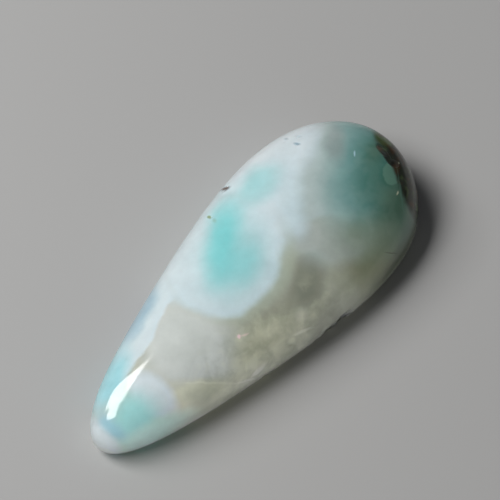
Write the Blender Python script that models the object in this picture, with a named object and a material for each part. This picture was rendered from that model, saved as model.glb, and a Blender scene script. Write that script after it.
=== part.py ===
"""A teardrop cabochon of gem silica, cut and polished from one stone.

The stone lies on its flat back. Its long axis runs along X, with the narrow tip at -X
and the full, rounded head at +X. Z is up, and the origin is the middle of the flat back.
Everything is in metres.
"""

import math
from collections import namedtuple

import bmesh
import bpy
from mathutils import Matrix, Vector

MM = 0.001

# Driving dimensions of the cut stone
LENGTH = 38.0 * MM
WIDTH = 16.4 * MM
HEIGHT = 6.8 * MM
GIRDLE_HEIGHT = 1.3 * MM
BACK_BEVEL = 0.4 * MM

# How full the outline is near the tip, as a share of how full it is at the head
TIP_FULLNESS = 0.423

# A cross-section is a superellipse: 2 would be an ellipse, more is a fuller dome
SECTION_POWER = 2.3

# The ridge sinks towards both ends as the stone narrows, but more slowly than its width:
# the smaller this share of the width, the longer the ridge keeps its height
RIDGE_LAG = 0.5

# Below the girdle the walls turn in steeply, as if the section went this deep
UNDERSIDE_DEPTH = 3.2 * MM

# Facets around a full cross-section, and from tip to head
FACETS_AROUND = 80
FACETS_ALONG = 48

# Flakes that have broken out of the lower -Y edge, and one natural pit in the +Y side:
# each has its side, its place along X, its height, and its length, depth and tallness
Break = namedtuple("Break", "name side x z length depth tall")
BREAKS = (
    Break("chip_deep", -1, 3.9 * MM, 0.80 * MM, 2.2 * MM, 0.48 * MM, 3.0 * MM),
    Break("chip_shallow", -1, 2.5 * MM, 0.75 * MM, 2.5 * MM, 0.32 * MM, 2.7 * MM),
    Break("nick_middle", -1, 1.0 * MM, 0.60 * MM, 1.0 * MM, 0.16 * MM, 1.5 * MM),
    Break("nick_tipward", -1, -4.5 * MM, 0.60 * MM, 1.1 * MM, 0.18 * MM, 1.5 * MM),
    Break("pit", 1, 5.6 * MM, 4.40 * MM, 1.0 * MM, 0.15 * MM, 0.5 * MM),
)
CUTTER_DETAIL = 3


def outline_share(along):
    """How wide the outline is at a share of the length from the tip, before scaling."""
    fullness = TIP_FULLNESS + (1.0 - TIP_FULLNESS) * along * along
    return math.sqrt(max(along * (1.0 - along), 0.0)) * fullness


OUTLINE_STEPS = 400
WIDEST_SHARE = max(outline_share(step / OUTLINE_STEPS) for step in range(OUTLINE_STEPS + 1))


def width_share(along):
    """The width at a share of the length from the tip, as a share of the full width."""
    return outline_share(along) / WIDEST_SHARE


def ridge_share(along):
    """The rise of the ridge above the girdle, as a share of its full rise."""
    share = width_share(along)
    return share * (1.0 + RIDGE_LAG) / (share + RIDGE_LAG)


def rounded(value):
    """A sine or cosine bent so that a circle becomes the section's superellipse."""
    return math.copysign(abs(value) ** (2.0 / SECTION_POWER), value)


def surface_point(along, angle):
    """A point of the stone before its back is cut: angle 0 is +Y, a quarter turn is up."""
    rise = HEIGHT - GIRDLE_HEIGHT if math.sin(angle) >= 0.0 else UNDERSIDE_DEPTH
    return Vector((
        (along - 0.5) * LENGTH,
        0.5 * WIDTH * width_share(along) * rounded(math.cos(angle)),
        GIRDLE_HEIGHT + rise * ridge_share(along) * rounded(math.sin(angle)),
    ))


def angle_at_height(along, height, side):
    """The angle at which a section passes a height, on one side of the stone."""
    above = height - GIRDLE_HEIGHT
    rise = (HEIGHT - GIRDLE_HEIGHT if above >= 0.0 else UNDERSIDE_DEPTH) * ridge_share(along)
    climb = math.copysign(math.asin((abs(above) / rise) ** (SECTION_POWER / 2.0)), above)
    return climb if side > 0 else math.pi - climb


def new_collection(name):
    collection = bpy.data.collections.new(name)
    bpy.context.scene.collection.children.link(collection)
    return collection


def new_object(name, bm, collection):
    mesh = bpy.data.meshes.new(name)
    bm.to_mesh(mesh)
    bm.free()
    obj = bpy.data.objects.new(name, mesh)
    collection.objects.link(obj)
    return obj


def polished_stone_material():
    """Pale blue-green chalcedony with a high polish."""
    material = bpy.data.materials.new("polished_gem_silica")
    material.use_nodes = True
    shader = material.node_tree.nodes["Principled BSDF"]
    shader.inputs["Base Color"].default_value = (0.50, 0.66, 0.62, 1.0)
    shader.inputs["Roughness"].default_value = 0.08
    shader.inputs["Metallic"].default_value = 0.0
    shader.inputs["IOR"].default_value = 1.54
    return material


def make_stone(collection):
    """A sphere drawn out to the teardrop, sawn flat and bevelled around its back."""
    bm = bmesh.new()
    bmesh.ops.create_uvsphere(
        bm,
        u_segments=FACETS_AROUND,
        v_segments=FACETS_ALONG,
        radius=1.0,
        matrix=Matrix.Rotation(math.pi / 2.0, 4, "Y"),
    )
    for vert in bm.verts:
        along = 0.5 * (1.0 + vert.co.x)
        vert.co = surface_point(along, math.atan2(vert.co.z, vert.co.y))

    sawn = bmesh.ops.bisect_plane(
        bm,
        geom=bm.verts[:] + bm.edges[:] + bm.faces[:],
        plane_co=(0.0, 0.0, 0.0),
        plane_no=(0.0, 0.0, 1.0),
        clear_inner=True,
    )
    rim = [item for item in sawn["geom_cut"] if isinstance(item, bmesh.types.BMEdge)]
    bmesh.ops.holes_fill(bm, edges=rim, sides=0)
    bmesh.ops.bevel(
        bm,
        geom=rim,
        offset=BACK_BEVEL,
        offset_type="OFFSET",
        segments=2,
        profile=0.5,
        affect="EDGES",
        clamp_overlap=True,
        material=-1,
    )
    bmesh.ops.recalc_face_normals(bm, faces=bm.faces[:])
    stone = new_object("cabochon", bm, collection)
    stone.data.materials.append(polished_stone_material())
    return stone


def outward_normal(along, angle):
    """The direction that the surface faces, from two short steps across it."""
    step = 0.001
    forward = surface_point(along + step, angle) - surface_point(along - step, angle)
    upward = surface_point(along, angle + step) - surface_point(along, angle - step)
    return upward.cross(forward).normalized()


def make_cutter(place, collection):
    """An egg-shaped cutter that takes a shallow flake out of the stone's side."""
    along = place.x / LENGTH + 0.5
    angle = angle_at_height(along, place.z, place.side)
    surface = surface_point(along, angle)
    outward = outward_normal(along, angle)
    lengthwise = Vector((1.0, 0.0, 0.0))
    lengthwise = (lengthwise - lengthwise.dot(outward) * outward).normalized()
    upright = lengthwise.cross(outward)
    turn = Matrix((lengthwise, outward, upright)).transposed().to_4x4()

    # The cutter's centre stands off by twice the depth, so its radius is three depths,
    # and the mouth of the cut is this share of the cutter's length and height.
    stand_off = 2.0 * place.depth
    radius = stand_off + place.depth
    mouth_share = math.sqrt(1.0 - (stand_off / radius) ** 2)
    sizes = (0.5 * place.length / mouth_share, radius, 0.5 * place.tall / mouth_share)
    centre = surface + stand_off * outward

    bm = bmesh.new()
    bmesh.ops.create_icosphere(bm, subdivisions=CUTTER_DETAIL, radius=1.0)
    bmesh.ops.scale(bm, vec=sizes, verts=bm.verts[:])
    bmesh.ops.transform(bm, matrix=Matrix.Translation(centre) @ turn, verts=bm.verts[:])
    cutter = new_object(place.name, bm, collection)
    cutter.hide_render = True
    cutter.display_type = "WIRE"
    return cutter


def break_out(stone, cutter):
    """Take one flake out of the stone."""
    cut = stone.modifiers.new(cutter.name, "BOOLEAN")
    cut.operation = "DIFFERENCE"
    cut.solver = "EXACT"
    cut.object = cutter


for old_object in list(bpy.data.objects):
    bpy.data.objects.remove(old_object, do_unlink=True)

model = new_collection("gem_silica_cabochon")
cutters = new_collection("cutters")

cabochon = make_stone(model)
for place in BREAKS:
    break_out(cabochon, make_cutter(place, cutters))

cabochon.data.shade_smooth()
cabochon.data.set_sharp_from_angle(angle=math.radians(30.0))
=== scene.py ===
# %% [markdown]
# A gem silica cabochon. Gem silica is chalcedony, a very fine quartz, coloured blue-green by
# copper. This stone was sawn from a seam, ground to a long teardrop with a domed face and a
# flat back, and polished. Everything is in metres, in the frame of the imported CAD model,
# which is loaded first. Its box gives the stone's length, width and height. The other numbers
# of the outline, the section and the bevel are the CAD model's too, and are written here again.

# %% Load the CAD frame
import math
from collections import namedtuple

import bmesh
import bpy
from mathutils import Matrix, Vector, noise
from mathutils.bvhtree import BVHTree


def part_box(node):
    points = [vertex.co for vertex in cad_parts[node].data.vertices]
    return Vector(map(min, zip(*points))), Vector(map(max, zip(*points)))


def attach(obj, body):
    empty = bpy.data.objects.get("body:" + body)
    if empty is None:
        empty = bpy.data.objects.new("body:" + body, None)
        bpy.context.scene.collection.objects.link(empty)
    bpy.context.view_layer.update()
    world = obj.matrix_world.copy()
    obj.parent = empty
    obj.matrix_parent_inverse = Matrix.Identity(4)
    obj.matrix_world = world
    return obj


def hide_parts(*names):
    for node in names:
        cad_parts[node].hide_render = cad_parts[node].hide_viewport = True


MM = 0.001

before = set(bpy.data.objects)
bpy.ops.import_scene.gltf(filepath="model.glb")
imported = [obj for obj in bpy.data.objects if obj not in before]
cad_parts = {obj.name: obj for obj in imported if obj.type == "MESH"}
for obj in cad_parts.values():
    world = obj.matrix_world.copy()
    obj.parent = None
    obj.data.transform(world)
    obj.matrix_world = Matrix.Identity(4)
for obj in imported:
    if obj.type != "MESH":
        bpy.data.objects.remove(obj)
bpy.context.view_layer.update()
lowest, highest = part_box("cabochon")
LENGTH = highest.x - lowest.x
WIDTH = highest.y - lowest.y
HEIGHT = highest.z
print(f"The stone is {LENGTH / MM:.1f} x {WIDTH / MM:.1f} x {HEIGHT / MM:.1f} mm")

# %% [markdown]
# The outline is a rounded teardrop. A half ellipse, sqrt(a (1 - a)), closes it round at both
# ends, and a fullness that grows from the tip to the head makes it a drop. It could be drawn
# as a curve through measured points, but a formula stays smooth however closely the surface
# is looked at, and a polished surface shows every bump in its reflections.

# %% The outline, seen from above
TIP_FULLNESS = 0.423
OUTLINE_STEPS = 400


def outline_share(along):
    """How wide the outline is at a share of the length from the tip, before scaling."""
    fullness = TIP_FULLNESS + (1.0 - TIP_FULLNESS) * along * along
    return math.sqrt(max(along * (1.0 - along), 0.0)) * fullness


WIDEST_SHARE = max(outline_share(step / OUTLINE_STEPS) for step in range(OUTLINE_STEPS + 1))


def width_share(along):
    """The width at a share of the length from the tip, as a share of the full width."""
    return outline_share(along) / WIDEST_SHARE


print(f"Halfway along, the stone has {width_share(0.5):.0%} of its full width")

# %% [markdown]
# A section across the stone is a superellipse, a little squarer than an ellipse, as a
# cabochon's is when its girdle is ground steep and its top is domed over. The ridge sinks
# towards both ends, but more slowly than the width, so the ends are round and not flat.
# Below the girdle, the widest line, the walls turn in towards the back.

# %% A point of the surface
GIRDLE_HEIGHT = 1.3 * MM
SECTION_POWER = 2.3
RIDGE_LAG = 0.5
UNDERSIDE_DEPTH = 3.2 * MM


def ridge_share(along):
    """The rise of the ridge above the girdle, as a share of its full rise."""
    share = width_share(along)
    return share * (1.0 + RIDGE_LAG) / (share + RIDGE_LAG)


def rounded(value):
    """A sine or cosine bent so that a circle becomes the section's superellipse."""
    return math.copysign(abs(value) ** (2.0 / SECTION_POWER), value)


def surface_point(along, angle):
    """A point of the stone before its back is cut: angle 0 is +Y, a quarter turn is up."""
    rise = HEIGHT - GIRDLE_HEIGHT if math.sin(angle) >= 0.0 else UNDERSIDE_DEPTH
    return Vector((
        (along - 0.5) * LENGTH,
        0.5 * WIDTH * width_share(along) * rounded(math.cos(angle)),
        GIRDLE_HEIGHT + rise * ridge_share(along) * rounded(math.sin(angle)),
    ))


print(f"The dome rises {(HEIGHT - GIRDLE_HEIGHT) / MM:.1f} mm above the girdle")

# %% [markdown]
# The stone itself starts as a sphere with its poles at the tip and the head. Moving each of
# its points by the formula draws it out to the drop. Bisecting it at the ground is the saw
# cut of the back, filling the hole closes it, and a small bevel breaks the sharp edge, as
# every cutter does so that the edge doesn't chip. The pitch is fine, because a mirror-like
# polish shows facets that a matt surface would hide.

# %% Shape the stone
FACETS_AROUND = 240
FACETS_ALONG = 180
BACK_BEVEL = 0.4 * MM
BEVEL_STEPS = 4


def new_object(name, bm):
    """Turn a bmesh into an object of the scene."""
    mesh = bpy.data.meshes.new(name)
    bm.to_mesh(mesh)
    bm.free()
    piece = bpy.data.objects.new(name, mesh)
    bpy.context.scene.collection.objects.link(piece)
    return piece


def make_stone():
    """A sphere drawn out to the teardrop, sawn flat and bevelled around its back."""
    bm = bmesh.new()
    bmesh.ops.create_uvsphere(
        bm,
        u_segments=FACETS_AROUND,
        v_segments=FACETS_ALONG,
        radius=1.0,
        matrix=Matrix.Rotation(math.pi / 2.0, 4, "Y"),
    )
    for vert in bm.verts:
        along = 0.5 * (1.0 + vert.co.x)
        vert.co = surface_point(along, math.atan2(vert.co.z, vert.co.y))
    sawn = bmesh.ops.bisect_plane(
        bm,
        geom=bm.verts[:] + bm.edges[:] + bm.faces[:],
        plane_co=(0.0, 0.0, 0.0),
        plane_no=(0.0, 0.0, 1.0),
        clear_inner=True,
    )
    rim = [item for item in sawn["geom_cut"] if isinstance(item, bmesh.types.BMEdge)]
    bmesh.ops.holes_fill(bm, edges=rim, sides=0)
    bmesh.ops.bevel(
        bm,
        geom=rim,
        offset=BACK_BEVEL,
        offset_type="OFFSET",
        segments=BEVEL_STEPS,
        profile=0.5,
        affect="EDGES",
        clamp_overlap=True,
        material=-1,
    )
    bmesh.ops.recalc_face_normals(bm, faces=bm.faces[:])
    return new_object("polished_stone", bm)


stone = make_stone()
print(f"The stone has {len(stone.data.polygons)} faces before it is chipped")

# %% [markdown]
# The real stone isn't perfect. Flakes have broken out of its lower edge, there are small pits
# in the dome, and at the head the soft matrix was left low by the polish. Each is cut with a
# Boolean, by an egg whose surface is roughened with noise, as a fracture is. Painting the
# marks on would be quicker, but a chip has to change the outline and catch the light. A break
# has a place on the stone, and then its length, its depth and how tall it is in millimetres.

# %% Where the surface is broken
Break = namedtuple("Break", "name along angle length depth tall")


def angle_at_height(along, height, side):
    """The angle at which a section passes a height, on one side of the stone."""
    above = height - GIRDLE_HEIGHT
    rise = (HEIGHT - GIRDLE_HEIGHT if above >= 0.0 else UNDERSIDE_DEPTH) * ridge_share(along)
    climb = math.copysign(math.asin((abs(above) / rise) ** (SECTION_POWER / 2.0)), above)
    return climb if side > 0 else math.pi - climb


def edge_break(name, side, x, z, length, depth, tall):
    """A break in the wall, placed by its height in millimetres."""
    along = x * MM / LENGTH + 0.5
    return Break(name, along, angle_at_height(along, z * MM, side), length, depth, tall)


def dome_break(name, x, y, length, depth, tall):
    """A break in the dome, placed as seen from above, in millimetres."""
    along = x * MM / LENGTH + 0.5
    out = y * MM / (0.5 * WIDTH * width_share(along))
    angle = math.acos(math.copysign(abs(out) ** (SECTION_POWER / 2.0), out))
    return Break(name, along, angle, length, depth, tall)


BREAKS = (
    edge_break("chip_deep", -1, 3.9, 0.80, 2.2, 0.48, 3.0),
    edge_break("chip_shallow", -1, 2.5, 0.75, 2.5, 0.32, 2.7),
    edge_break("nick_middle", -1, 1.0, 0.60, 1.0, 0.16, 1.5),
    edge_break("nick_tipward", -1, -4.5, 0.60, 1.1, 0.18, 1.5),
    edge_break("pit", 1, 5.6, 4.40, 0.9, 0.12, 0.3),
    dome_break("pit_upper", 12.35, 4.55, 0.60, 0.07, 0.42),
    dome_break("pit_upper_small", 13.15, 5.1, 0.34, 0.04, 0.30),
    dome_break("pit_upper_faint", 12.2, 5.85, 0.50, 0.04, 0.26),
    dome_break("pit_olive", 2.35, 5.75, 0.36, 0.05, 0.30),
    dome_break("matrix_low_1", 16.75, -0.95, 0.55, 0.06, 0.9),
    dome_break("matrix_low_2", 16.35, -1.75, 0.45, 0.08, 1.0),
    dome_break("matrix_low_3", 16.15, -2.45, 0.60, 0.09, 0.9),
    dome_break("matrix_low_4", 16.10, -2.95, 0.70, 0.10, 0.8),
)
print(f"The deepest of the {len(BREAKS)} breaks is {max(b.depth for b in BREAKS)} mm deep")

# %% [markdown]
# A cutter is set square to the surface, so the surface's direction comes first. The egg stands
# off from the surface and only its side bites in, which leaves a shallow dish, as a flake does.
# An egg centred on the surface would leave a deep socket. The noise has layers, each finer and
# fainter than the one before.

# %% A cutter for a break
STAND_OFF = 2.0
CUTTER_DETAIL = 5
FRACTURE_SCALE = 0.45 * MM
FRACTURE_DEPTH = 0.10
FRACTURE_LAYERS = 3
FRACTURE_FINER = 2.0
FRACTURE_FAINTER = 1.0
SURFACE_STEP = 0.001


def outward_normal(along, angle):
    """The direction that the surface faces, from two short steps across it."""
    step = SURFACE_STEP
    forward = surface_point(along + step, angle) - surface_point(along - step, angle)
    upward = surface_point(along, angle + step) - surface_point(along, angle - step)
    return upward.cross(forward).normalized()


def make_cutter(flaw):
    """A roughened egg that takes a shallow flake out of the stone's surface."""
    surface = surface_point(flaw.along, flaw.angle)
    outward = outward_normal(flaw.along, flaw.angle)
    lengthwise = Vector((1.0, 0.0, 0.0))
    lengthwise = (lengthwise - lengthwise.dot(outward) * outward).normalized()
    upright = lengthwise.cross(outward)
    turn = Matrix((lengthwise, outward, upright)).transposed().to_4x4()

    # The egg's centre stands off by some depths, and its radius is one depth more. The mouth
    # of the cut is a share of the egg's length and height.
    stand_off = STAND_OFF * flaw.depth * MM
    radius = stand_off + flaw.depth * MM
    mouth_share = math.sqrt(1.0 - (stand_off / radius) ** 2)
    sizes = (0.5 * flaw.length * MM / mouth_share, radius, 0.5 * flaw.tall * MM / mouth_share)

    bm = bmesh.new()
    bmesh.ops.create_icosphere(bm, subdivisions=CUTTER_DETAIL, radius=1.0)
    bmesh.ops.scale(bm, vec=sizes, verts=bm.verts[:])
    centre = surface + stand_off * outward
    bmesh.ops.transform(bm, matrix=Matrix.Translation(centre) @ turn, verts=bm.verts[:])
    for vert in bm.verts:
        grain = vert.co / FRACTURE_SCALE
        rough = noise.fractal(grain, FRACTURE_FAINTER, FRACTURE_FINER, FRACTURE_LAYERS)
        vert.co = centre + (vert.co - centre) * (1.0 + FRACTURE_DEPTH * rough)
    return new_object(flaw.name, bm)


print(f"A cutter's centre stands {STAND_OFF} times its depth off the surface")

# %% [markdown]
# A Boolean modifier stays live, and each further cut would make the whole stack slower. So each
# cut is applied at once: the evaluated mesh becomes the stone's own, and the cutter is removed.

# %% Cut the breaks


def cut_out(piece, cutter):
    """Take the cutter's shape out of the piece, for good."""
    cut = piece.modifiers.new(cutter.name, "BOOLEAN")
    cut.operation = "DIFFERENCE"
    cut.solver = "EXACT"
    cut.object = cutter
    depsgraph = bpy.context.evaluated_depsgraph_get()
    whole = piece.data
    piece.data = bpy.data.meshes.new_from_object(piece.evaluated_get(depsgraph))
    piece.data.name = piece.name
    piece.modifiers.clear()
    bpy.data.meshes.remove(whole)
    bpy.data.objects.remove(cutter, do_unlink=True)


for flaw in BREAKS:
    cut_out(stone, make_cutter(flaw))
print(f"The broken stone has {len(stone.data.polygons)} faces")

# %% [markdown]
# The photograph was taken from well above, with the tip of the stone towards the lower left.
# Three directions describe that view: to the picture's right, up in the picture, and back to
# the camera. The columns of the mineral and the light are placed by them too, so they come
# before both. FAR is the way that the camera looks, taken along the floor.

# %% The directions of the view
VIEW_AZIMUTH = math.radians(49.7)
VIEW_ELEVATION = math.radians(60.0)
UPRIGHT = Vector((0.0, 0.0, 1.0))
FAR = Vector((math.sin(VIEW_AZIMUTH), math.cos(VIEW_AZIMUTH), 0.0))
RIGHT = Vector((math.cos(VIEW_AZIMUTH), -math.sin(VIEW_AZIMUTH), 0.0))
BACK = math.sin(VIEW_ELEVATION) * UPRIGHT - math.cos(VIEW_ELEVATION) * FAR
UP = BACK.cross(RIGHT)
VIEW = Matrix((RIGHT, UP, BACK))
print(f"The camera looks down at {math.degrees(VIEW_ELEVATION):.0f} degrees")

# %% [markdown]
# The camera stands more than six stone lengths off with a long lens, as a photographer of small
# things does, so the stone's near end isn't swollen. The lens follows from how wide a strip
# the picture takes in at the stone. A picture aimed at the stone's middle wouldn't have it
# where the photograph has, so the camera is moved a little right and up in its own plane.

# %% The camera
AIM = Vector((0.0, 0.0, 3.0 * MM))
MOVE_RIGHT = 0.40 * MM
MOVE_UP = 3.03 * MM
CAMERA_DISTANCE = 250.0 * MM
PICTURE_WIDTH = 42.637 * MM
SENSOR_WIDTH = 36.0
NEAREST = 10.0 * MM

camera_data = bpy.data.cameras.new("camera")
camera_data.sensor_width = SENSOR_WIDTH
camera_data.lens = SENSOR_WIDTH * CAMERA_DISTANCE / PICTURE_WIDTH
camera_data.clip_start = NEAREST
camera = bpy.data.objects.new("camera", camera_data)
camera.location = AIM + MOVE_RIGHT * RIGHT + MOVE_UP * UP + CAMERA_DISTANCE * BACK
camera.rotation_mode = "QUATERNION"
camera.rotation_quaternion = VIEW.transposed().to_quaternion()
bpy.context.scene.collection.objects.link(camera)
bpy.context.scene.camera = camera
print(f"The lens is {camera_data.lens:.0f} mm long")

# %% [markdown]
# One material holds the whole pattern of the stone, and it has hundreds of nodes. Placing them
# by hand in the editor would be slow, so a few small helpers each add one kind of node. An
# input is given a plain value or another node's socket, and the helper knows which it is.

# %% The material and its helpers
finish = bpy.data.materials.new("polished_gem_silica")
finish.use_nodes = True
tree = finish.node_tree
shader = tree.nodes["Principled BSDF"]


def add_node(tree, kind, title="", **inputs):
    """Add a node. An input is a plain value, or another node's socket, which is linked."""
    made = tree.nodes.new(kind)
    made.label = title
    for name, value in inputs.items():
        connect(tree, made.inputs[name.replace("_", " ")], value)
    return made


def connect(tree, socket, value):
    """Give a socket a plain value, or link another node's socket to it."""
    if isinstance(value, bpy.types.NodeSocket):
        tree.links.new(value, socket)
    else:
        socket.default_value = value


def add_vector_math(tree, operation, *values):
    """A Vector Math node's vector."""
    made = tree.nodes.new("ShaderNodeVectorMath")
    made.operation = operation
    for socket, value in zip(made.inputs, values):
        connect(tree, socket, value)
    return made.outputs["Value" if operation == "LENGTH" else "Vector"]


def add_math(tree, operation, *values):
    """A Math node's value."""
    made = tree.nodes.new("ShaderNodeMath")
    made.operation = operation
    for socket, value in zip(made.inputs, values):
        connect(tree, socket, value)
    return made.outputs["Value"]


print(f"The material {finish.name} starts with {len(tree.nodes)} nodes")

# %% [markdown]
# The colour is inside the stone. Gem silica grows in a seam as bundles of rounded columns, so
# a cut across them shows clouds: a turquoise heart, a milky shell, a thin greener rim, and
# grey quartz where the columns don't meet. How the columns lean in the real stone can't be
# seen, so here they run along the line of sight of the photograph, where each cloud's place
# can be judged. So the coordinates are the view's, in millimetres. A material could also be
# painted on a UV map, but then the sides and the back wouldn't continue the same clouds, as
# the real stone's do.

# %% Coordinates across the columns
TO_MILLIMETRES = (1.0 / MM, 1.0 / MM, 1.0 / MM)

place = add_node(tree, "ShaderNodeTexCoord", "place on the stone").outputs["Object"]
across = add_node(tree, "ShaderNodeMapping", "across the columns", Vector=place)
across.inputs["Scale"].default_value = TO_MILLIMETRES
across.inputs["Rotation"].default_value = VIEW.to_euler()
straight = across.outputs["Vector"]
print(f"The columns lean {90.0 - math.degrees(VIEW_ELEVATION):.0f} degrees from upright")

# %% [markdown]
# Nothing that grew is a perfect ellipse. The coordinates are pushed about by noise before the
# clouds are drawn: a broad push of a few tenths of a millimetre bends their edges, and a fine
# one frays them. It is one change that makes every cloud uneven in its own way.

# %% Waver
Waver = namedtuple("Waver", "scale detail amount")
BROAD_WAVER = Waver(0.33, 1.0, 0.9)
FINE_WAVER = Waver(1.6, 3.0, 0.22)


def add_noise(title, vector, scale, detail):
    """A noise texture. On coordinates in millimetres its scale is lumps to the millimetre."""
    return add_node(
        tree, "ShaderNodeTexNoise", title, Vector=vector, Scale=scale, Detail=detail
    ).outputs


def push(vector, waver):
    """Move a vector by up to half the waver's amount, in millimetres."""
    colours = add_noise("waver", vector, waver.scale, waver.detail)["Color"]
    centred = add_vector_math(tree, "SUBTRACT", colours, (0.5, 0.5, 0.5))
    moved = add_vector_math(tree, "MULTIPLY", centred, (waver.amount,) * 3)
    return add_vector_math(tree, "ADD", vector, moved)


wavy = push(push(straight, BROAD_WAVER), FINE_WAVER)
print(f"An edge wavers by up to {0.5 * (BROAD_WAVER.amount + FINE_WAVER.amount):.2f} mm")

# %% [markdown]
# One node group draws any cloud. It measures how far a place is from the middle of the column,
# in units of the column's own reach, and turns that into a mask that fades over its edge. With
# dozens of clouds in the stone, a group keeps the node tree readable, and one change to it
# changes them all.

# %% The cloud group


def make_cloud_group():
    """A mask that is 1 inside an ellipse across the columns, and fades to 0 at its edge."""
    group = bpy.data.node_groups.new("cloud_in_the_slice", "ShaderNodeTree")
    sockets = group.interface
    sockets.new_socket("Place", in_out="INPUT", socket_type="NodeSocketVector")
    sockets.new_socket("Middle", in_out="INPUT", socket_type="NodeSocketVector")
    sockets.new_socket("Reach", in_out="INPUT", socket_type="NodeSocketVector")
    sockets.new_socket("Turn", in_out="INPUT", socket_type="NodeSocketFloat")
    sockets.new_socket("Softness", in_out="INPUT", socket_type="NodeSocketFloat")
    sockets.new_socket("Strength", in_out="INPUT", socket_type="NodeSocketFloat")
    sockets.new_socket("Mask", in_out="OUTPUT", socket_type="NodeSocketFloat")
    given = group.nodes.new("NodeGroupInput").outputs
    result = group.nodes.new("NodeGroupOutput").inputs

    apart = add_vector_math(group, "SUBTRACT", given["Place"], given["Middle"])
    back_turn = add_math(group, "MULTIPLY", given["Turn"], -1.0)
    turned = add_node(group, "ShaderNodeVectorRotate", "turn", Vector=apart, Angle=back_turn)
    share = add_vector_math(group, "DIVIDE", turned.outputs["Vector"], given["Reach"])
    distance = add_vector_math(group, "LENGTH", share)
    fade = add_node(group, "ShaderNodeMapRange", "fade", Value=distance)
    fade.interpolation_type = "SMOOTHSTEP"
    connect(group, fade.inputs["From Min"], add_math(group, "ADD", 1.0, given["Softness"]))
    connect(group, fade.inputs["From Max"], add_math(group, "SUBTRACT", 1.0, given["Softness"]))
    mask = add_math(group, "MULTIPLY", fade.outputs["Result"], given["Strength"])
    connect(group, result["Mask"], mask)
    return group


cloud_group = make_cloud_group()
print(f"The group {cloud_group.name} has {len(cloud_group.nodes)} nodes")

# %% [markdown]
# Each colour of the mineral has a name, and is written as a screen shows it, 0 to 255. They were
# chosen after reading the photograph's colours in places and comparing renders with it.
# Blender works in linear light, so a colour is converted where it is used. Typing linear colours
# in would save that, but nobody can picture them.

# %% The colours of the mineral
PALETTE = {
    "quartz": (162, 165, 149),
    "pale_quartz": (210, 212, 182),
    "grey_quartz": (136, 140, 126),
    "cream": (194, 201, 196),
    "smooth_quartz": (180, 184, 168),
    "warm_grey": (134, 146, 143),
    "olive": (216, 220, 192),
    "rim_of_lobe": (171, 182, 167),
    "grey_green": (126, 132, 104),
    "dark_rim": (56, 64, 42),
    "pinkish_grey": (158, 166, 158),
    "milk": (197, 220, 228),
    "bright_milk": (208, 229, 240),
    "slate_blue": (145, 175, 191),
    "grey_milk": (172, 187, 186),
    "turquoise": (122, 199, 200),
    "pale_turquoise": (163, 207, 210),
    "edge_blue": (138, 202, 217),
    "tip_turquoise": (142, 208, 206),
    "tip_green": (182, 240, 222),
    "pale_grey": (171, 179, 174),
    "tip_white": (203, 232, 252),
    "pit_blue": (96, 124, 140),
    "olive_spot": (124, 138, 72),
    "tip_blue": (133, 184, 207),
    "teal": (107, 149, 146),
    "deep_teal": (55, 106, 93),
    "green": (66, 97, 76),
    # window is the colour of a painted reflection in the polish.
    "window": (94, 132, 116),
    "olive_green": (62, 80, 42),
    "brown": (30, 32, 20),
    "rust": (70, 44, 24),
    "black": (14, 16, 10),
    # frost is the white of cracks and of painted glints.
    "frost_and_glint": (244, 246, 226),
    "pink": (255, 214, 214),
}


def paint(name):
    """A colour of the palette, in linear light. The numbers are those of the sRGB standard."""
    shares = [value / 255.0 for value in PALETTE[name]]
    return [s / 12.92 if s <= 0.04045 else ((s + 0.055) / 1.055) ** 2.4 for s in shares] + [1.0]


print(f"The palette has {len(PALETTE)} colours")

# %% [markdown]
# A cloud is laid over what is already there, as paint is, so the lists of clouds run from the
# ground up. Four helpers do all the mixing: one lays a colour over another through a mask, one
# stretches a value to the range that is wanted, one makes a grey to darken or lighten with, and
# one keeps a mask to where another is. A noise's middle values are the most common ones, so the
# range that a noise is stretched from decides how much of the stone it marks.

# %% Helpers that mix
WHOLE = (0.0, 1.0)

# A Mix node has sockets for numbers, vectors and colours under the same names, so the ones for
# colours are picked by their number.
MIX_FACTOR, MIX_UNDER, MIX_OVER = 0, 6, 7
MIX_RESULT = 2


def blend(mask, under, over, kind="MIX"):
    """Lay one colour over another where the mask says."""
    mix = tree.nodes.new("ShaderNodeMix")
    mix.data_type = "RGBA"
    mix.blend_type = kind
    connect(tree, mix.inputs[MIX_FACTOR], mask)
    connect(tree, mix.inputs[MIX_UNDER], under)
    connect(tree, mix.inputs[MIX_OVER], over)
    return mix.outputs[MIX_RESULT]


def spread(value, given, wanted):
    """Stretch a value from the given range to the wanted one, and clip it there."""
    ranged = add_node(tree, "ShaderNodeMapRange", "spread", Value=value)
    ranged.inputs["From Min"].default_value = given[0]
    ranged.inputs["From Max"].default_value = given[1]
    ranged.inputs["To Min"].default_value = wanted[0]
    ranged.inputs["To Max"].default_value = wanted[1]
    return ranged.outputs["Result"]


def grey_of(value):
    """One value as a grey, to multiply a colour with."""
    made = add_node(tree, "ShaderNodeCombineColor", "grey", Red=value, Green=value, Blue=value)
    return made.outputs["Color"]


def both(first, second):
    """Two masks multiplied, which leaves only where both are."""
    return add_math(tree, "MULTIPLY", first, second)


print(f"The material has {len(tree.nodes)} nodes before its first cloud")

# %% [markdown]
# A cloud is easiest to point at on the photograph, so its place is written in the photograph's
# pixels, from the upper left corner. The line of sight through a pixel meets the stone at the
# real place, and the lens gives the size of a pixel there. Places in millimetres would do as
# well, but nobody could check them against the photograph.

# %% From the photograph to the stone
PHOTO_PIXELS = 500
PIXEL = PICTURE_WIDTH / PHOTO_PIXELS

stone_surface = BVHTree.FromObject(stone, bpy.context.evaluated_depsgraph_get())


def seen_at(x, y):
    """The point of the stone that the photograph shows at a pixel."""
    aside = (x - 0.5 * PHOTO_PIXELS) * PIXEL
    above = (0.5 * PHOTO_PIXELS - y) * PIXEL
    sight = aside * RIGHT + above * UP - CAMERA_DISTANCE * BACK
    return stone_surface.ray_cast(camera.location, sight)[0]


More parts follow.
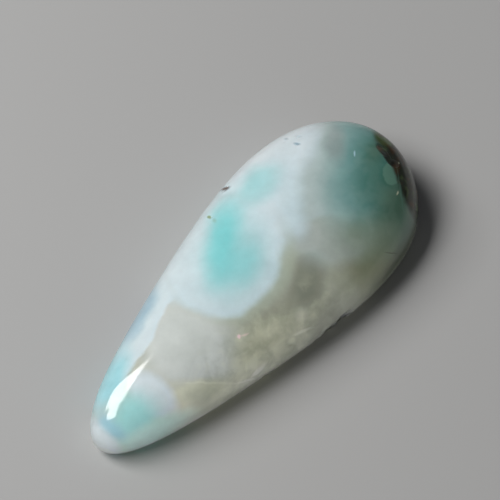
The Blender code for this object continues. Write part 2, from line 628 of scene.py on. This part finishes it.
def pixel_at(point):
    """How wide a pixel of the photograph is at the distance of a point."""
    return PIXEL * (camera.location - point).dot(BACK) / CAMERA_DISTANCE


middle_point = seen_at(0.5 * PHOTO_PIXELS, 0.5 * PHOTO_PIXELS)
print(f"A pixel is {pixel_at(middle_point) / MM:.4f} mm wide in the middle of the photograph")

# %% [markdown]
# Each cloud has a name, its middle, its reach along two axes, how they are turned in degrees,
# how softly its edge fades, how strongly it covers, and its colour. The middle and the reach are
# in pixels. All of them were chosen one by one and corrected by comparing renders with the
# photograph. A cloud follows its column through the whole stone. A short one ends inside it, at
# twice its longer reach or at least at a set length.

# %% What a cloud is
Cloud = namedtuple("Cloud", "name middle reach turn softness strength colour")
COLUMN_LENGTH = 200.0
SHORT_LENGTH = 0.8
SHORT_SHARE = 2.0


def cloud_mask(cloud, short=False):
    """The mask of one cloud. Its place becomes millimetres across the columns here."""
    point = seen_at(*cloud.middle)
    reach = [pixel_at(point) / MM * pixels for pixels in cloud.reach]
    along = max(SHORT_LENGTH, SHORT_SHARE * max(reach)) if short else COLUMN_LENGTH

    made = tree.nodes.new("ShaderNodeGroup")
    made.node_tree = cloud_group
    made.label = cloud.name
    connect(tree, made.inputs["Place"], wavy)
    made.inputs["Middle"].default_value = VIEW @ point / MM
    made.inputs["Reach"].default_value = (*reach, along)
    made.inputs["Turn"].default_value = math.radians(cloud.turn)
    made.inputs["Softness"].default_value = cloud.softness
    made.inputs["Strength"].default_value = cloud.strength
    return made.outputs["Mask"]


def lay(under, clouds, short=False):
    """Lay clouds over a colour, one after the other."""
    for cloud in clouds:
        under = blend(cloud_mask(cloud, short), under, paint(cloud.colour))
    return under


print(f"A column reaches {COLUMN_LENGTH:.0f} mm both ways, which is as good as endless")

# %% [markdown]
# Quartz fills the space between the columns. It is greyer and clearer than they are, greener
# towards the head, and milky where a column has bled into it.

# %% The quartz ground
QUARTZ_CLOUDS = (
    Cloud("quartz_edge", (259, 352), (46, 22), 36, 0.8, 0.62, "pale_quartz"),
    Cloud("quartz_rim", (262, 371), (44, 8), 34, 0.9, 0.5, "olive"),
    Cloud("quartz_low", (232, 384), (46, 18), 33, 0.6, 0.75, "olive"),
    Cloud("quartz_smooth", (344, 290), (20, 22), 20, 0.6, 0.7, "smooth_quartz"),
    Cloud("quartz_dark", (306, 278), (16, 30), -10, 0.5, 0.95, "grey_quartz"),
    Cloud("quartz_under_lobe", (262, 318), (36, 8), 14, 0.8, 0.3, "grey_quartz"),
    Cloud("quartz_right", (382, 258), (40, 30), 45, 0.8, 0.92, "grey_green"),
    Cloud("rim_right", (404, 243), (10, 56), -26, 0.8, 0.88, "dark_rim"),
    Cloud("cream", (186, 346), (46, 48), 0, 0.4, 0.92, "cream"),
    Cloud("cream_low", (203, 370), (28, 14), 4, 0.4, 0.6, "cream"),
    Cloud("cream_band", (196, 386), (40, 6), 3, 0.8, 0.4, "pale_quartz"),
    Cloud("olive_tip", (190, 406), (44, 20), 22, 0.2, 0.85, "olive"),
    Cloud("olive_tip_dark", (203, 398), (12, 12), 0, 0.8, 0.65, "quartz"),
)

colour = lay(paint("quartz"), QUARTZ_CLOUDS)
print(f"The quartz has {len(QUARTZ_CLOUDS)} clouds")

# %% [markdown]
# The quartz has grown in coarse crystals. They show as blotches of paler and greyer stone, as
# faces that are a little lighter or darker than their neighbours, and as a few white flecks,
# which are cracks and also painted glints where a crack or a face catches the light. Noise gives
# the blotches. A Voronoi texture gives the faces, because it fills space with cells as crystals
# do, and its smooth kind blurs their borders. A wide, soft cloud keeps all of it where the
# quartz is.

# %% Crystals in the quartz
CRYSTAL_SHAPE = (0.85, 0.42, 0.5)
CRYSTAL_ZONE = Cloud("crystals", (269, 343), (85, 34), 36, 0.5, 1.0, None)
PALE_NOISE = (0.50, 0.70)
PALE_BLOTCHES = (0.0, 0.42)
GREY_NOISE = (0.50, 0.32)
GREY_BLOTCHES = (0.0, 0.38)
FACE_SHADES = (0.88, 1.08)
FACE_BLUR = 0.25

# The frost flecks are white cracks with painted glints in them. The two pink marks are painted
# highlights.
FLECKS_AND_GLINTS = (
    Cloud("fleck_1", (258, 370), (8, 2), 42, 0.6, 0.8, "frost_and_glint"),
    Cloud("fleck_2", (301, 316), (6, 6), 0, 0.9, 0.3, "frost_and_glint"),
    Cloud("fleck_3", (291, 341), (4, 3), 0, 0.7, 0.6, "olive"),
    Cloud("fleck_4", (246, 380), (13, 1.2), 8, 0.7, 0.5, "frost_and_glint"),
    Cloud("fleck_5", (210, 383), (24, 1.1), 2, 0.8, 0.2, "frost_and_glint"),
    Cloud("fleck_6", (217, 339), (5, 4.5), 0, 0.8, 0.6, "cream"),
    Cloud("fleck_7", (276, 350), (5, 4), 0, 0.8, 0.5, "olive"),
    Cloud("fleck_8", (303, 332), (9, 1.4), 18, 0.8, 0.45, "frost_and_glint"),
    Cloud("pink_glint", (238, 336), (1.6, 1.7), 0, 0.5, 0.85, "pink"),
    Cloud("pink_glint_tail", (243, 334), (4, 0.8), 20, 0.7, 0.35, "pink"),
)

crystals = cloud_mask(CRYSTAL_ZONE)
blotches = add_noise("blotches", wavy, scale=0.7, detail=4.0)["Fac"]
pale = spread(blotches, PALE_NOISE, PALE_BLOTCHES)
grey = spread(blotches, GREY_NOISE, GREY_BLOTCHES)
colour = blend(both(pale, crystals), colour, paint("olive"))
colour = blend(both(grey, crystals), colour, paint("grey_quartz"))

tall = add_vector_math(tree, "MULTIPLY", wavy, CRYSTAL_SHAPE)
faces = add_node(tree, "ShaderNodeTexVoronoi", "crystal faces", Vector=tall, Scale=1.0)
faces.feature = "SMOOTH_F1"
faces.inputs["Smoothness"].default_value = FACE_BLUR
face_value = add_node(tree, "ShaderNodeSeparateColor", "one value", Color=faces.outputs["Color"])
face_shade = grey_of(spread(face_value.outputs["Red"], WHOLE, FACE_SHADES))
colour = blend(crystals, colour, face_shade, "MULTIPLY")
colour = lay(colour, FLECKS_AND_GLINTS, short=True)
print(f"The quartz has {len(FLECKS_AND_GLINTS)} flecks")

# %% [markdown]
# The columns themselves are laid over the quartz, from the widest milky shell to the smallest
# heart. Two masks are kept on the way. The brown clouds at the rim are rock that the seam grew
# on, and get a rock's markings next. The clouds of the matrix are its soft, broken skin, which
# stays matt when the rest is polished. The cloud named window is no part of the stone: it is a
# painted reflection of a window on the dark head.

# %% The clouds
CLOUDS = (
    Cloud("grey_milk", (332, 184), (60, 76), -10, 0.25, 0.95, "grey_milk"),
    Cloud("pink_lobe", (334, 237), (31, 20), -12, 0.22, 0.8, "pinkish_grey"),
    Cloud("small_lobe", (303, 236), (19, 16), 0, 0.22, 0.8, "pale_grey"),
    Cloud("small_lobe_top", (294, 227), (14, 12), 0, 0.7, 0.55, "milk"),
    Cloud("white_band", (139, 337), (54, 11), 58, 0.18, 0.95, "milk"),
    Cloud("white_band_top", (160, 291), (27, 14), 42, 0.22, 0.95, "milk"),
    Cloud("white_band_bright", (142, 341), (38, 5), 58, 0.8, 0.3, "bright_milk"),
    Cloud("blue_strip", (138, 316), (34, 9), 58, 0.5, 0.97, "slate_blue"),
    Cloud("edge_turquoise", (108, 382), (34, 13), 62, 0.6, 0.95, "edge_blue"),
    Cloud("tip_white", (153, 397), (27, 17), -42, 0.32, 0.93, "bright_milk"),
    Cloud("tip_heart", (136, 420), (25, 26), -15, 0.6, 0.97, "tip_turquoise"),
    Cloud("tip_green", (150, 434), (42, 11), 24, 0.6, 0.85, "tip_green"),
    Cloud("tip_blue", (111, 428), (15, 9), -45, 0.7, 0.85, "tip_blue"),
    Cloud("tip_cap", (98, 443), (23, 14), -48, 0.55, 0.95, "tip_white"),
    Cloud("halo", (219, 223), (87, 47), 54, 0.16, 0.97, "milk"),
    Cloud("upper_white", (260, 155), (66, 38), 40, 0.28, 0.97, "bright_milk"),
    Cloud("ridge_white", (283, 192), (18, 43), 0, 0.5, 0.9, "milk"),
    Cloud("lobe_rim", (229, 257), (63, 61), 60, 0.16, 0.92, "rim_of_lobe"),
    Cloud("lobe", (222, 255), (62, 58), 65, 0.09, 0.97, "milk"),
    Cloud("lobe_right_white", (266, 222), (16, 32), 10, 0.6, 0.8, "bright_milk"),
    Cloud("lobe_pale", (234, 256), (41, 33), 75, 0.6, 0.93, "pale_turquoise"),
    Cloud("heart", (223, 238), (40, 15), 80, 0.75, 0.97, "turquoise"),
    Cloud("heart_right", (240, 264), (20, 16), 40, 0.8, 0.55, "turquoise"),
    Cloud("second_lobe", (258, 186), (27, 16), 42, 0.5, 0.92, "pale_turquoise"),
    Cloud("second_heart", (254, 184), (14, 8), 42, 0.9, 0.3, "turquoise"),
    Cloud("head", (372, 178), (44, 64), -4, 0.5, 0.95, "teal"),
    Cloud("head_left", (341, 190), (13, 26), 0, 0.6, 0.25, "teal"),
    Cloud("head_top", (354, 128), (24, 11), -20, 0.6, 0.6, "teal"),
    Cloud("pink_top", (335, 143), (10, 16), 0, 0.7, 0.7, "warm_grey"),
    Cloud("head_heart", (379, 174), (22, 42), -8, 0.9, 0.92, "deep_teal"),
    Cloud("head_green", (396, 204), (17, 30), -8, 0.75, 0.85, "green"),
    Cloud("head_green_top", (377, 150), (8, 13), -25, 0.8, 0.6, "green"),
    Cloud("head_low", (366, 236), (26, 18), 0, 0.8, 0.5, "grey_green"),
    # A painted reflection of a window, a paler patch on the dark head, not a colour of the
    # stone.
    Cloud("window", (391, 173), (9, 12), -12, 0.1, 0.85, "window"),
    Cloud("rim_brown", (406, 174), (12, 50), 20, 0.22, 0.97, "brown"),
    Cloud("rim_brown_top", (391, 146), (18, 8), -45, 0.35, 0.9, "brown"),
    Cloud("rim_olive", (383, 138), (10, 5), -42, 0.5, 0.92, "olive_green"),
    Cloud("matrix_line", (385, 153), (12, 3.2), -55, 0.3, 0.97, "black"),
    Cloud("matrix_spot", (393, 163), (7, 4.5), -30, 0.2, 0.97, "black"),
    Cloud("matrix_rust", (380, 148), (3.2, 2.2), -40, 0.6, 0.6, "rust"),
)

rock = 0.0
matrix = 0.0
for cloud in CLOUDS:
    mask = cloud_mask(cloud)
    colour = blend(mask, colour, paint(cloud.colour))
    if cloud.name.startswith("rim_brown"):
        rock = add_math(tree, "MAXIMUM", mask, rock)
    if cloud.name.startswith("matrix"):
        matrix = add_math(tree, "MAXIMUM", mask, matrix)
print(f"The columns have {len(CLOUDS)} clouds")

# %% [markdown]
# The rock at the head is brown with iron, in patches of rust and olive. The patches are the high
# and the low end of one noise, so they never overlap and the plain brown lies between them. Two
# separate noises would cross and mix to mud.

# %% The rock at the head
RUSTY_NOISE = (0.52, 0.64)
MOSSY_NOISE = (0.46, 0.36)
ROCK_PATCHES = (0.0, 0.55)

lumps = add_noise("rock lumps", wavy, scale=0.9, detail=5.0)["Fac"]
rusty = spread(lumps, RUSTY_NOISE, ROCK_PATCHES)
mossy = spread(lumps, MOSSY_NOISE, ROCK_PATCHES)
colour = blend(both(rusty, rock), colour, paint("rust"))
colour = blend(both(mossy, rock), colour, paint("olive_green"))
print(f"The patches cover up to {ROCK_PATCHES[1]:.0%} of the rock's colour")

# %% [markdown]
# At the head the blue-green has curdled: it lies in faint patches a millimetre or two across,
# with fairly firm edges. A noise pressed through a narrow range gives such patches, where a
# plain noise would only be misty. A wide, soft cloud keeps them to the head.

# %% The curdled head
CURDLED_HEAD = Cloud("curdled_head", (356, 190), (42, 62), 0, 0.5, 1.0, "pale_grey")
CURD_NOISE = (0.46, 0.56)
CURDS = (0.0, 0.07)

curdling = add_noise("curds", wavy, scale=0.5, detail=2.0)["Fac"]
curds = spread(curdling, CURD_NOISE, CURDS)
colour = blend(both(curds, cloud_mask(CURDLED_HEAD)), colour, paint(CURDLED_HEAD.colour))
print(f"The curds cover up to {CURDS[1]:.0%} of the colour under them")

# %% [markdown]
# No cloud is one flat colour. A mottle, a slow noise with finer noise in it, makes all of them
# a little lighter and darker from place to place, as tiny bubbles and crystals do.

# %% The mottle
MOTTLE_NOISE = (0.30, 0.70)
MOTTLE_SHADES = (0.92, 1.07)
MOTTLE_ROUGHNESS = 0.62

mottle = add_noise("mottle", straight, scale=0.5, detail=5.0)["Fac"]
mottle.node.inputs["Roughness"].default_value = MOTTLE_ROUGHNESS
shade = spread(mottle, MOTTLE_NOISE, MOTTLE_SHADES)
colour = blend(1.0, colour, grey_of(shade), "MULTIPLY")
print(f"The mottle runs from {MOTTLE_SHADES[0]:.0%} to {MOTTLE_SHADES[1]:.0%} of the colour")

# %% [markdown]
# The stone is translucent, so where it is thin, low down around its edge, light from behind
# comes through it and the edge looks lighter than the dome. Subsurface scattering gives some of
# this. The rest is painted light: a glow painted into the colour, which lightens it slowly
# towards the back and is clipped at white.

# %% The painted glow of the lower edge
PAINTED_GLOW_HEIGHTS = (2.0, 0.2)
PAINTED_GLOW_SHADES = (1.0, 1.5)

upright = add_node(tree, "ShaderNodeSeparateXYZ", "height above the back", Vector=place)
height = add_math(tree, "MULTIPLY", upright.outputs["Z"], 1.0 / MM)
# Painted light: the colour is lightened towards the back, as light coming through a thin edge
# would lighten it.
painted_glow = spread(height, PAINTED_GLOW_HEIGHTS, PAINTED_GLOW_SHADES)
colour = blend(1.0, colour, grey_of(painted_glow), "MULTIPLY")
colour.node.clamp_result = True
print(f"The stone lightens below {PAINTED_GLOW_HEIGHTS[0]:.0f} mm")

# %% [markdown]
# Some marks are too small to be clouds: brown stain in the pit at the edge, two olive specks,
# blue-grey pits in the white and a crack near the head. With them goes painted light: a painted
# reflection edge, a pale line beside the dark rim, and painted glints, highlights where the
# light finds a tiny crystal. Each is drawn as a cloud is, but it is short along the column too,
# so it stays in the face where it is seen. They come last, because nothing lies over them.

# %% The small marks
MARKS_AND_REFLECTIONS = (
    Cloud("pit_rust", (224, 189), (6.2, 1), 26, 0.5, 0.95, "rust"),
    Cloud("olive_spot", (211, 217), (2, 1.8), 0, 0.5, 0.85, "olive_spot"),
    Cloud("olive_halo", (216, 220), (2.2, 1.6), 0, 0.9, 0.35, "olive_spot"),
    Cloud("pit_blue_1", (297, 144), (3.2, 1.5), -22, 0.7, 0.75, "pit_blue"),
    Cloud("pit_blue_2", (286, 139), (2.2, 1.1), -10, 0.8, 0.45, "pit_blue"),
    Cloud("pit_blue_3", (298, 136), (2.6, 1.2), -10, 0.8, 0.3, "pit_blue"),
    # Painted highlights: glints where the light finds a tiny crystal.
    Cloud("glint_1", (356, 153), (0.9, 2), -12, 0.7, 0.5, "tip_white"),
    Cloud("glint_2", (397, 193), (0.9, 2), -20, 0.6, 0.6, "pale_quartz"),
    Cloud("glint_3", (399, 163), (0.9, 0.9), 0, 0.6, 0.5, "pale_quartz"),
    Cloud("crack", (391, 251), (8, 0.7), -10, 0.5, 0.5, "dark_rim"),
    # Painted reflection: a pale line beside the dark rim, where the reflection in the polish
    # changes.
    Cloud("painted_reflection_edge", (400, 190), (1, 22), 8, 0.5, 0.3, "window"),
)

colour = lay(colour, MARKS_AND_REFLECTIONS, short=True)
print(f"The stone has {len(MARKS_AND_REFLECTIONS)} small marks")

# %% [markdown]
# The polish is a lapidary's last polish, almost a mirror, so Roughness is low. It isn't the
# same everywhere: quartz and chalcedony wear at slightly different rates, which leaves a relief
# of a few thousandths of a millimetre that only shows as a waver in the reflections, and the
# soft matrix takes no polish at all.

# %% The polish
POLISH_NOISE = (0.35, 0.65)
POLISH = (0.06, 0.11)
MATT = 0.32
RELIEF = 0.004 * MM

uneven = add_noise("uneven polish", straight, scale=0.6, detail=2.0)["Fac"]
polish = spread(uneven, POLISH_NOISE, POLISH)
roughness = add_math(tree, "ADD", polish, both(matrix, MATT))
relief = add_node(tree, "ShaderNodeBump", "relief", Height=uneven, Distance=RELIEF)
print(f"Roughness is {POLISH[0]} to {POLISH[1]}, and up to {MATT} more on the matrix")

# %% [markdown]
# The shader gathers it all. The index of refraction is that of chalcedony. Subsurface
# scattering lets light sink in and come out again, as it does in a milky stone, and its scale
# is longer than the stone is high, so it softens the shading of the whole stone. Glass with a
# volume inside would be nearer to the truth, but it renders slowly and the export can't keep
# it, while it does keep a pattern in Base Color.

# %% The surface
REFRACTION = 1.54
SCATTER = 25.0 * MM
CHIP_ANGLE = math.radians(30.0)

connect(tree, shader.inputs["Base Color"], colour)
connect(tree, shader.inputs["Roughness"], roughness)
connect(tree, shader.inputs["Normal"], relief.outputs["Normal"])
shader.inputs["IOR"].default_value = REFRACTION
shader.inputs["Subsurface Weight"].default_value = 1.0
shader.inputs["Subsurface Radius"].default_value = (1.0, 1.0, 1.0)
shader.inputs["Subsurface Scale"].default_value = SCATTER
stone.data.materials.clear()
stone.data.materials.append(finish)
stone.data.shade_smooth()
stone.data.set_sharp_from_angle(angle=CHIP_ANGLE)
print(f"The finish has {len(tree.nodes)} nodes")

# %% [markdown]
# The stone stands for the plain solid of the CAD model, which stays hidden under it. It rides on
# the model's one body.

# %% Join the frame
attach(stone, "root")
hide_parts("cabochon")
print(f"{stone.name} stands for the CAD node cabochon")

# %% [markdown]
# The stage is plain: one pale, matt floor, very large beside the stone. A curved backdrop would
# hide the horizon from low down, but a flat floor sends the same soft light up from every side.

# %% The floor
FLOOR_SIZE = 3.0
FLOOR_COLOUR = (0.37, 0.366, 0.36, 1.0)
FLOOR_ROUGHNESS = 0.9

bm = bmesh.new()
bmesh.ops.create_grid(bm, x_segments=1, y_segments=1, size=0.5 * FLOOR_SIZE)
floor = new_object("floor", bm)
floor_finish = bpy.data.materials.new("pale_floor")
floor_finish.use_nodes = True
floor_shader = floor_finish.node_tree.nodes["Principled BSDF"]
floor_shader.inputs["Base Color"].default_value = FLOOR_COLOUR
floor_shader.inputs["Roughness"].default_value = FLOOR_ROUGHNESS
floor.data.materials.append(floor_finish)
print(f"The floor is {FLOOR_SIZE} m square")

# %% [markdown]
# A polished dome is a curved mirror, so its highlight is a small picture of the window that
# lights it. The long bright streak near the tip shows that the window is high up on the left,
# and that one side of it reaches further down than the other. Two rectangles side by side give
# that outline. A wide, low panel on the near side lifts the shaded wall, as the rest of a pale
# room does. It isn't mirrored, because in the polish it would be a bar that no room has. A
# panel's sizes and shifts are shares of its distance, so it can be moved in or out and still
# fill the same part of the sky.

# %% The light
WINDOW_AZIMUTH = -78.0
WINDOW_ELEVATION = 52.0
WINDOW_DISTANCE = 0.35

PANEL_FIELDS = "name azimuth elevation distance aside above width height power mirrored"
Panel = namedtuple("Panel", PANEL_FIELDS)


def direction(azimuth, elevation):
    """The unit vector towards a place in the sky. Azimuth 0 is the far side, 90 the right."""
    bearing = math.radians(azimuth)
    rise = math.radians(elevation)
    ground = math.cos(bearing) * FAR + math.sin(bearing) * RIGHT
    return math.cos(rise) * ground + math.sin(rise) * UPRIGHT


def add_panel(panel):
    """A soft rectangular light, square to the line from the stone to the sky there."""
    towards = direction(panel.azimuth, panel.elevation)
    aside = direction(panel.azimuth + 90.0, 0.0)
    upward = aside.cross(towards)
    light = bpy.data.lights.new(panel.name, "AREA")
    light.shape = "RECTANGLE"
    light.size = panel.width * panel.distance
    light.size_y = panel.height * panel.distance
    light.energy = panel.power
    lamp = bpy.data.objects.new(panel.name, light)
    lamp.location = panel.distance * (towards + panel.aside * aside + panel.above * upward)
    lamp.rotation_mode = "QUATERNION"
    lamp.rotation_quaternion = towards.to_track_quat("Z", "Y")
    lamp.visible_camera = False
    lamp.visible_glossy = panel.mirrored
    bpy.context.scene.collection.objects.link(lamp)


PANELS = (
    Panel(
        "window_main", WINDOW_AZIMUTH, WINDOW_ELEVATION, WINDOW_DISTANCE,
        aside=0.11, above=-0.04, width=0.36, height=0.64, power=1.00, mirrored=True,
    ),
    Panel(
        "window_low", WINDOW_AZIMUTH, WINDOW_ELEVATION, WINDOW_DISTANCE,
        aside=-0.26, above=0.05, width=0.40, height=0.34, power=0.55, mirrored=True,
    ),
    Panel(
        "near_fill", azimuth=175.0, elevation=5.0, distance=0.50,
        aside=0.0, above=0.0, width=1.8, height=0.14, power=1.15, mirrored=False,
    ),
)
for panel in PANELS:
    add_panel(panel)
print(f"{len(PANELS)} panels give {sum(panel.power for panel in PANELS):.2f} W")

# %% [markdown]
# The world is the light that comes from all the rest of the room. It is left nearly dark, since
# a bright one would wash out the dome from all sides. The Standard view shows each colour as it
# is. Filmic views would look softer, but they would fade the clouds.

# %% The world and the film
WORLD_COLOUR = (0.9, 0.95, 1.0, 1.0)
WORLD_STRENGTH = 0.07

world = bpy.data.worlds.new("studio")
world.use_nodes = True
background = world.node_tree.nodes["Background"]
background.inputs["Color"].default_value = WORLD_COLOUR
background.inputs["Strength"].default_value = WORLD_STRENGTH
bpy.context.scene.world = world
bpy.context.scene.view_settings.view_transform = "Standard"
print(f"The world shines at {WORLD_STRENGTH}")
